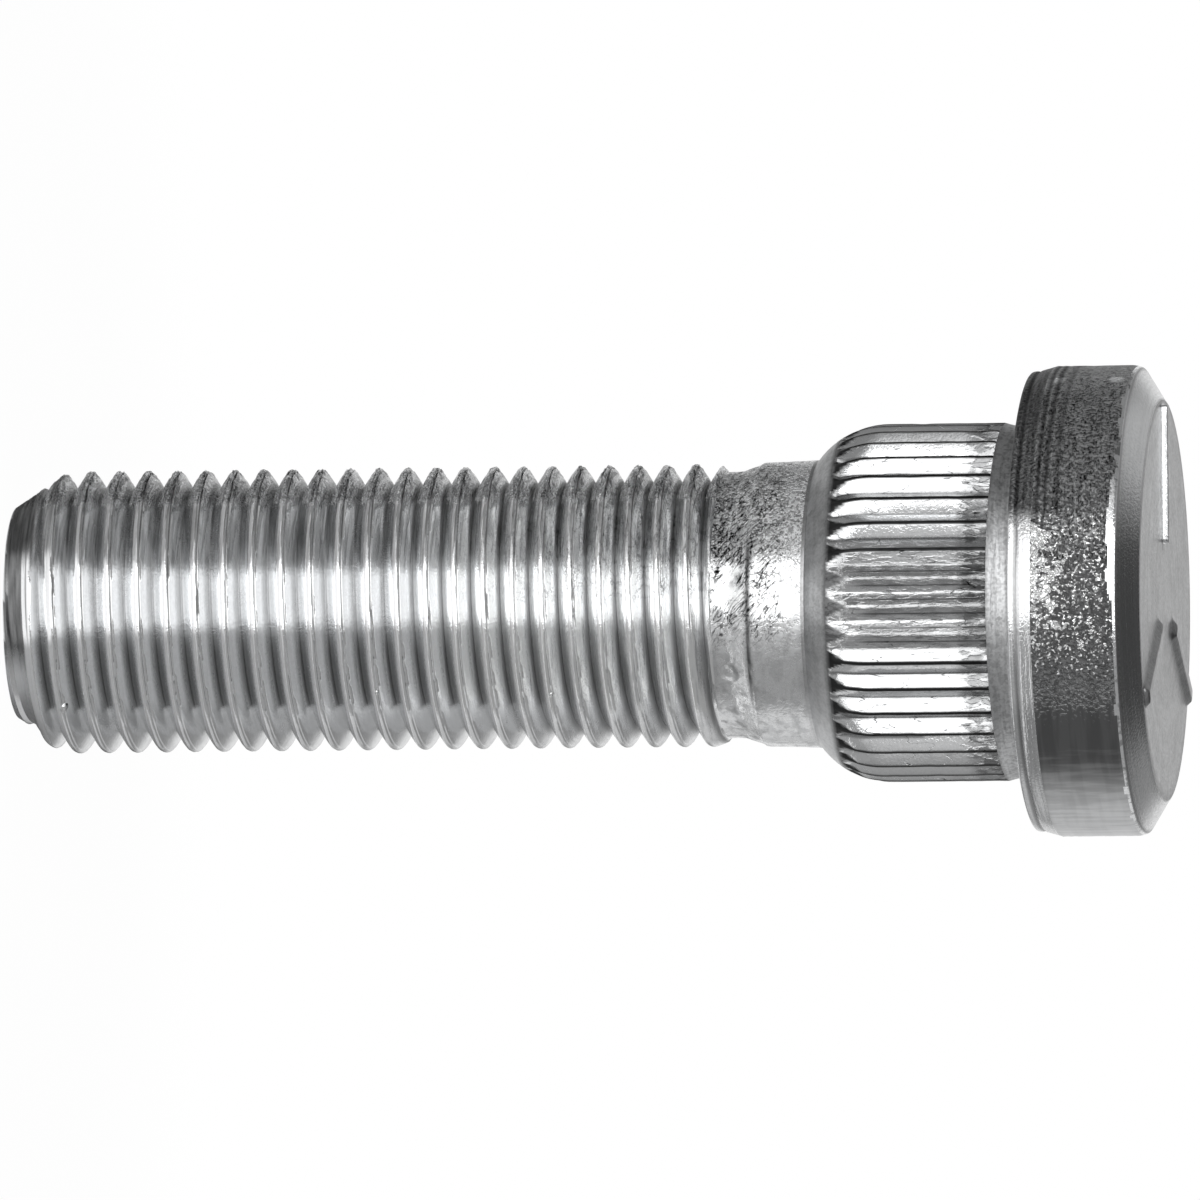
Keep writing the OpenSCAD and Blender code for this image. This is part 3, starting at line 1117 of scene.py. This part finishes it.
FINISHES: dict[Zone, ZincFinish] = {
    Zone.THREAD: ZincFinish(0.97, 0.1, (
        cloud(7000, 7000, 0.4, 0.62, tone=-0.03, relief=0.0015, gloss=0.03),
        cloud(250, 9000, 0.5, 0.68, tone=-0.05, relief=0.0015, detail=1),
        # Streaky patches darker only towards -X: partly grain, partly painted shade
        cloud(300, 9000, 0.46, 0.6, UPPER, tone=-0.3, relief=0.006),
        cloud(400, 7000, 0.5, 0.6, RIGHT, tone=-0.14, relief=0.006, detail=3),
        cover(RIGHT, tone=0.12, gloss=0.05),
        lines((1100, 1100, 4200), 0.03, (0, -0.6, 0.3), RIGHT, tone=-0.45, detail=3,
            distortion=0.5),
        cloud(11000, 11000, 0.38, 0.62, (0, -4.9, -4.4), tone=-0.55, relief=0.3),
        cloud(700, 900, 0.5, 0.7, gloss=0.08, detail=3),
    ), dull_and_shade=0.12, marks=(
        Mark((0.55, -6.1, 1.76), 0.22, -0.8, -0.05), Mark((4.05, -4.5, 3.2), 0.32, -0.9, 0.0),
        Mark((4.15, -4.4, 2.65), 0.24, 0.1, 0.24), Mark((3.66, -4.97, 16.53), 0.13, 0.1, 0.07),
        Mark((3.38, -5.16, 20.43), 0.13, 0.1, 0.07), Mark((3.84, -4.83, 24.2), 0.16, 0.1, 0.08),
        Mark((1.5, -5.98, 9.53), 0.16, 0.1, 0.07),
    ), edge_tint=0.9),
    Zone.NECK: ZincFinish(0.97, 0.16, (
        GRAIN,
        cloud(6500, 6500, 0.45, 0.58, (0, -3.0, -0.6), relief=0.035, gloss=0.4, detail=3),
        lines((1000, 3000, 4200), 0.04, (0, 0.2, 2.4), (2, 33.9, 34.9), tone=-0.7, detail=3,
            distortion=0.8, lean=-45),
        lines((1000, 3000, 4200), 0.025, (0, -0.8, 0.8), tone=-0.6, detail=3, distortion=0.8,
            lean=40),
        lines((600, 1800, 2200), 0.03, (0, 0.6, 3.0), (2, 34.2, 35.2), tone=-0.7, detail=4,
            distortion=1.0, lean=-35),
        cloud(1500, 1500, 0.48, 0.62, (2, 32.9, 34.8), tone=-0.2, gloss=0.15, detail=4),
        cloud(2200, 2200, 0.42, 0.62, (0, 0.4, -0.6), tone=-0.12, gloss=0.2, relief=0.006,
            detail=4),
        cloud(900, 2600, 0.45, 0.6, tone=-0.1, relief=0.003, detail=3),
        cloud(450, 9000, 0.45, 0.55, (0, -2.0, 0.0), (2, 32.6, 32.9), tone=-0.2),
    ), dull_and_shade=0.2, marks=(
        Mark((2.95, -5.0, 32.0), 0.5, 0.05, -0.12), Mark((1.3, -5.66, 31.75), 0.12, -0.6, 0.0),
        Mark((-0.5, -5.78, 32.05), 0.8, 0.8, -0.1), Mark((-1.3, -5.66, 32.2), 0.6, 0.7, -0.1),
    )),
    Zone.LEAD_IN: ZincFinish(0.52, 0.35, (
        GRAIN,
        cloud(400, 5000, 0.4, 0.6, tone=0.04),
        cloud(3500, 3500, 0.45, 0.6, (0, -3.0, 0.5), tone=-0.05, detail=4),
        cloud(1800, 1800, 0.42, 0.64, tone=-0.08, detail=3),
        # Painted light: lighter towards +X
        cover((0, 5.5, 2.0), tone=0.3),
    )),
    Zone.TEETH: ZincFinish(0.97, 0.12, (
        cloud(8000, 8000, 0.4, 0.62, tone=-0.05, relief=0.002, gloss=0.03),
        cloud(1500, 900, 0.56, 0.66, tone=-0.1, gloss=0.08, detail=4),
        lines((1500, 1500, 260), 0.005, tone=-0.6, relief=-0.01),
        cloud(3200, 1600, 0.42, 0.58, (2, 42.9, 41.7), tone=-0.42, relief=0.02, detail=4),
        cloud(5000, 1200, 0.44, 0.6, (0, 1.8, 2.6), (0, -2.2, -3.0), tone=-0.2, relief=0.01,
            detail=4),
    ), dull_and_shade=0.04),
    Zone.BAND: ZincFinish(0.6, 0.4, (
        GRAIN,
        cloud(400, 6000, 0.4, 0.6, tone=0.1, relief=0.004),
        cloud(4000, 4000, 0.45, 0.6, tone=-0.12, detail=4),
        # Painted shade: darker towards -X
        cover((0, -5.5, -3.0), tone=-0.15),
    ), dull_and_shade=0.4),
    Zone.LIP: ZincFinish(0.97, 0.14, (
        GRAIN,
        cloud(300, 6000, 0.4, 0.6, tone=-0.08, relief=0.005),
        cloud(7500, 7500, 0.35, 0.65, (0, -3.6, -2.8), tone=-0.1, relief=0.05, detail=3),
        # Painted shade: darker towards both X edges
        cover((0, -4.2, -3.3), tone=-0.7, gloss=0.3),
        cover((0, 5.2, 4.0), tone=-0.25),
    ), dull_and_shade=0.1),
    Zone.RIM: ZincFinish(0.11, 0.55, (
        cloud(7500, 7500, 0.38, 0.62, (0, -2.6, -0.8), tone=0.22, relief=0.06, detail=3),
        cloud(2600, 2600, 0.5, 0.7, (0, -3.0, -1.0), tone=0.1, detail=3),
        lines((1500, 1500, 4500), 0.03, (0, -2.0, -1.0), tone=-0.2, detail=3, distortion=0.6),
        cloud(6500, 6500, 0.36, 0.64, (0, 3.6, 6.0), (0, -1.6, -3.4), tone=0.08, relief=0.06,
            detail=3),
        # Painted glints: bright, smoother patches only in a band between the X sides of the rim
        cloud(7500, 6500, 0.54, 0.58, (0, 1.6, 5.6), (0, -3.2, -5.4), tone=0.9, gloss=-0.42,
            relief=-0.02, detail=4, distortion=0.3),
        cloud(2800, 2200, 0.51, 0.54, (0, 0.0, 4.0), (0, -3.0, -4.6), (2, 46.6, 48.6), tone=0.9,
            gloss=-0.42, detail=5, distortion=0.4),
        cloud(5000, 3200, 0.42, 0.46, (0, -0.6, 1.4), (0, -3.0, -4.0), (2, 46.0, 46.6), tone=0.9,
            gloss=-0.42, detail=3),
        cloud(250, 2500, 0.4, 0.6, tone=0.04),
        # Painted light: the rim lighter towards both X edges, most towards +X
        cover((0, 4.6, 2.6), tone=0.05, gloss=-0.25),
        cover((0, 10.2, 6.6), tone=0.5),
        cover((0, -10.2, -8.4), tone=0.18),
        cloud(2500, 300, 0.4, 0.62, (0, 8.0, 4.5), tone=0.12, detail=3),
    ), dull_and_shade=0.3, marks=(
        Mark((-9.6, -3.6, 46.35), 0.45, 0.35, -0.2), Mark((-9.6, -3.6, 48.9), 0.5, 0.35, -0.2),
    )),
    # Painted highlight: a bright copy of the plating on the rim's rounded edge and a bar's walls,
    # darker in patches towards both X sides
    Zone.EDGE: ZincFinish(0.97, 0.1, (
        GRAIN,
        cloud(3000, 3000, 0.5, 0.6, (0, -5.0, -4.0), (2, 50.0, 50.3), tone=-0.6, detail=3),
        cloud(3000, 3000, 0.5, 0.6, (0, 4.0, 0.5), tone=-0.4, detail=3),
    ), dull_and_shade=0.2),
    Zone.CHAMFER: ZincFinish(0.68, 0.2, (
        GRAIN,
        grooves(7000, tone=0.06, relief=0.003),
        # Painted light and shade by side: darker towards +X, lighter towards -X and darker again at
        # the -X edge
        cover((0, 8.6, 6.0), tone=-0.14),
        cover((0, -3.6, -2.0), tone=0.2),
        cover((0, -9.5, -7.6), tone=-0.35),
    ), edge_tint=1.0),
    Zone.FACE: ZincFinish(0.35, 0.3, (
        GRAIN,
        grooves(2500, tone=0.04, relief=0.006),
        cloud(900, 900, 0.4, 0.62, tone=-0.05, detail=4),
    ), edge_tint=0.95),
}


@dataclass
class Stud:
    """The whole stud: one solid, so one skin."""

    sections: tuple[type[Section], ...] = (Thread, Neck, SerratedShoulder, Head)
    sharp_angle: float = 38.0
    faces_down: float = -0.999

    def build(self) -> bpy.types.Object:
        """Build the skin from the tip to the head.

        Returns:
            The piece, at the origin with its place in its mesh.
        """
        draft = MeshDraft()
        for section in self.sections:
            section(draft).build()
        mesh = bpy.data.meshes.new("stud_skin")
        mesh.from_pydata([tuple(c * MM for c in p) for p in draft.points], [], draft.faces)
        for zone in Zone:
            mesh.materials.append(FINISHES[zone].material(f"zinc_{zone.name.lower()}"))
        mesh.polygons.foreach_set("material_index", draft.zones)
        mesh.attributes.new("grime_and_shade", "FLOAT", "POINT").data.foreach_set("value", draft.grime_and_shade)
        self.smooth(mesh)
        piece = put("stud_skin", mesh)
        triangles = sum(len(f) - 2 for f in draft.faces)
        log.info("stud_skin: %d points, %d triangles", len(mesh.vertices), triangles)
        return piece

    def smooth(self, mesh: bpy.types.Mesh) -> None:
        """Shade smoothly, except over the sharp edges.

        Args:
            mesh: The skin.
        """
        skin = bmesh.new()
        skin.from_mesh(mesh)
        loose = [v for v in skin.verts if not v.link_faces]
        bmesh.ops.delete(skin, geom=loose, context="VERTS")
        limit = math.radians(self.sharp_angle)
        skin.normal_update()
        for side in skin.faces:
            side.smooth = side.normal.z > self.faces_down
        for edge in skin.edges:
            edge.smooth = edge.calc_face_angle(0.0) < limit
        open_edges = sum(1 for edge in skin.edges if not edge.is_manifold)
        log.info("stud_skin: %d open edges", open_edges)
        skin.to_mesh(mesh)
        skin.free()

    def place(self, piece: bpy.types.Object) -> None:
        """Let the skin stand for the CAD solid.

        Args:
            piece: The skin.
        """
        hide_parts("stud")
        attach(piece, "root")


@dataclass(frozen=True)
class LightZone:
    """A soft-edged part of the studio around the stud."""

    towards: Point
    inner: float
    outer: float
    level: float


@dataclass
class Studio:
    """The floor, the soft light around the stud, and the camera."""

    tilt: float = 8.2
    roll: float = 0.636
    distance: float = 1500.0
    frame_px: float = 1200.0
    px_per_mm: float = 22.94
    aim_z: float = 25.632
    aim_above: float = 0.2794
    near_m: float = 0.05
    far_m: float = 40.0
    floor_r: float = 60.0
    floor_gap: float = 0.01
    floor_sides: int = 96
    floor_grey: float = 0.8
    floor_white: float = 0.98
    floor_plain: Ramp = (0.4, 0.98)
    floor_far: Ramp = (0.6, 0.98)
    strip_towards: Point = (-0.17, -0.985, 0.0)
    strip_deg: Ramp = (30.0, 20.0)
    backdrop_deg: Ramp = (34.0, 20.0)
    base_level: float = 0.3
    zones: tuple[LightZone, ...] = (
        LightZone((0.85, 0.53, 0.0), 20, 34, 0.65),
        LightZone((-0.3, 0.8, 0.45), 25, 45, 0.42),
        LightZone((-0.75, 0.65, -0.1), 15, 40, 0.2),
        LightZone((-1.0, -0.2, 0.0), 35, 60, 0.22),
        LightZone((-0.69, -0.71, 0.1), 4, 24, 0.75),
        LightZone((0.4, -0.91, -0.05), 4, 18, 0.5),
        LightZone((0.12, 0.3, 0.94), 16, 34, 0.06),
    )
    lamp_towards: Point = (-0.225, -0.975, 0.14)
    lamp_m: tuple[float, float] = (1.49, 4.1)
    lamp_away_m: float = 1.6
    lamp_level: float = 1.57

    def eye(self) -> Vector:
        """Return the unit vector from the stud to the camera."""
        tilt = math.radians(self.tilt)
        return Vector((0.0, -math.cos(tilt), math.sin(tilt)))

    def camera(self) -> None:
        """Set the camera at the photograph's viewing angle."""
        back = self.eye()
        tilt, roll = math.radians(self.tilt), math.radians(self.roll)
        right = Vector((0.0, math.sin(tilt), math.cos(tilt)))
        above = Vector((-1.0, 0.0, 0.0))
        across = right * math.cos(roll) - above * math.sin(roll)
        upward = right * math.sin(roll) + above * math.cos(roll)
        place = Vector((0.0, 0.0, self.aim_z)) + upward * self.aim_above + back * self.distance
        data = bpy.data.cameras.new("photo_camera")
        data.sensor_fit = "HORIZONTAL"
        data.angle = 2 * math.atan(self.frame_px / self.px_per_mm / 2 / self.distance)
        data.clip_start, data.clip_end = self.near_m, self.far_m
        camera = put("photo_camera", data)
        turn = Matrix((across, upward, back)).transposed().to_4x4()
        camera.matrix_world = Matrix.Translation(place * MM) @ turn
        bpy.context.scene.camera = camera

    def world(self) -> None:
        """Light the stud from a studio with pale and dark parts."""
        world = bpy.data.worlds.new("studio")
        bench = NodeBench(world, "Generated")
        level: object = self.base_level
        for zone in self.zones:
            towards = tuple(Vector(zone.towards).normalized())
            cosine = bench.vector("DOT_PRODUCT", bench.place, towards)
            mask = bench.span(cosine, cosd(zone.outer), cosd(zone.inner))
            kept = bench.math("MULTIPLY", bench.math("SUBTRACT", 1.0, mask), level)
            level = bench.shift(kept, mask, zone.level)
        behind = bench.vector("DOT_PRODUCT", bench.place, tuple(-self.eye()))
        backdrop = bench.span(behind, *map(cosd, self.backdrop_deg))
        direct, mirrored = bench.rays()
        seen = bench.math("MAXIMUM", direct, bench.math("MULTIPLY", mirrored, backdrop))
        strength = bench.add("Mix", {0: seen, 2: level, 3: 1.0}, data_type="FLOAT").outputs[0]
        light = bench.add("Background", {"Color": (1.0, 1.0, 1.0, 1.0), "Strength": strength})
        bench.add("OutputWorld", {"Surface": light.outputs[0]})
        bpy.context.scene.world = world

    def floor(self) -> None:
        """Lay the pale floor that the stud stands on; in mirrors it glows as a painted pool of
        light towards -Y and at its rim.
        """
        mesh = bpy.data.meshes.new("floor")
        turns = [2 * math.pi * j / self.floor_sides for j in range(self.floor_sides)]
        reach, down = self.floor_r * MM, self.floor_gap * MM
        edge = [(reach * math.cos(a), reach * math.sin(a), -down) for a in turns]
        mesh.from_pydata(edge, [], [tuple(range(self.floor_sides))])
        material = bpy.data.materials.new("pale_floor")
        bench = NodeBench(material, "Object")
        direct, mirrored = bench.rays()
        out = bench.vector("LENGTH", bench.place)
        plain = bench.span(out, *(r * reach for r in self.floor_plain), self.floor_white, 1.0)
        # Painted pool of light: to mirrored rays the floor glows white in a sector towards -Y and
        # near its rim, and shows its own shading elsewhere
        level = bench.vector("NORMALIZE", bench.place)
        facing = bench.vector("DOT_PRODUCT", level, self.strip_towards)
        far = bench.span(out, *(r * reach for r in self.floor_far))
        glow_pool = bench.math("MAXIMUM", bench.span(facing, *map(cosd, self.strip_deg)), far)
        seen = bench.math("MULTIPLY", direct, plain)
        share = bench.math("MAXIMUM", seen, bench.math("MULTIPLY", mirrored, glow_pool))
        matt = bench.add("BsdfDiffuse", {"Color": (*[self.floor_grey] * 3, 1.0)})
        glow = bench.add("Emission", {"Strength": 1.0})
        mixed = bench.add("MixShader", {0: share, 1: matt.outputs[0], 2: glow.outputs[0]})
        bench.add("OutputMaterial", {"Surface": mixed.outputs[0]})
        mesh.materials.append(material)
        floor = put("floor", mesh)

    def lamp(self) -> None:
        """Hang the soft box in front of the stud."""
        data = bpy.data.lights.new("soft_box_front", "AREA")
        data.shape = "RECTANGLE"
        data.size, data.size_y = self.lamp_m
        data.energy = self.lamp_level * math.pi * data.size * data.size_y
        direction = Vector(self.lamp_towards).normalized()
        turn = direction.to_track_quat("Z", "Y").to_matrix().to_4x4()
        lamp = put("soft_box_front", data)
        lamp.matrix_world = Matrix.Translation(direction * self.lamp_away_m) @ turn

    def build(self) -> None:
        """Set up floor, light and camera."""
        self.floor()
        self.world()
        self.camera()
        self.lamp()
        bpy.context.scene.view_settings.view_transform = "Standard"


def main() -> None:
    """Build the studio and the stud, and report each piece."""
    logging.basicConfig(level=logging.INFO, format="%(name)s: %(message)s")
    Studio().build()
    stud = Stud()
    piece = stud.build()
    stud.place(piece)
    log.info("placed %s on the root body", piece.name)


if __name__ == "__main__":
    main()
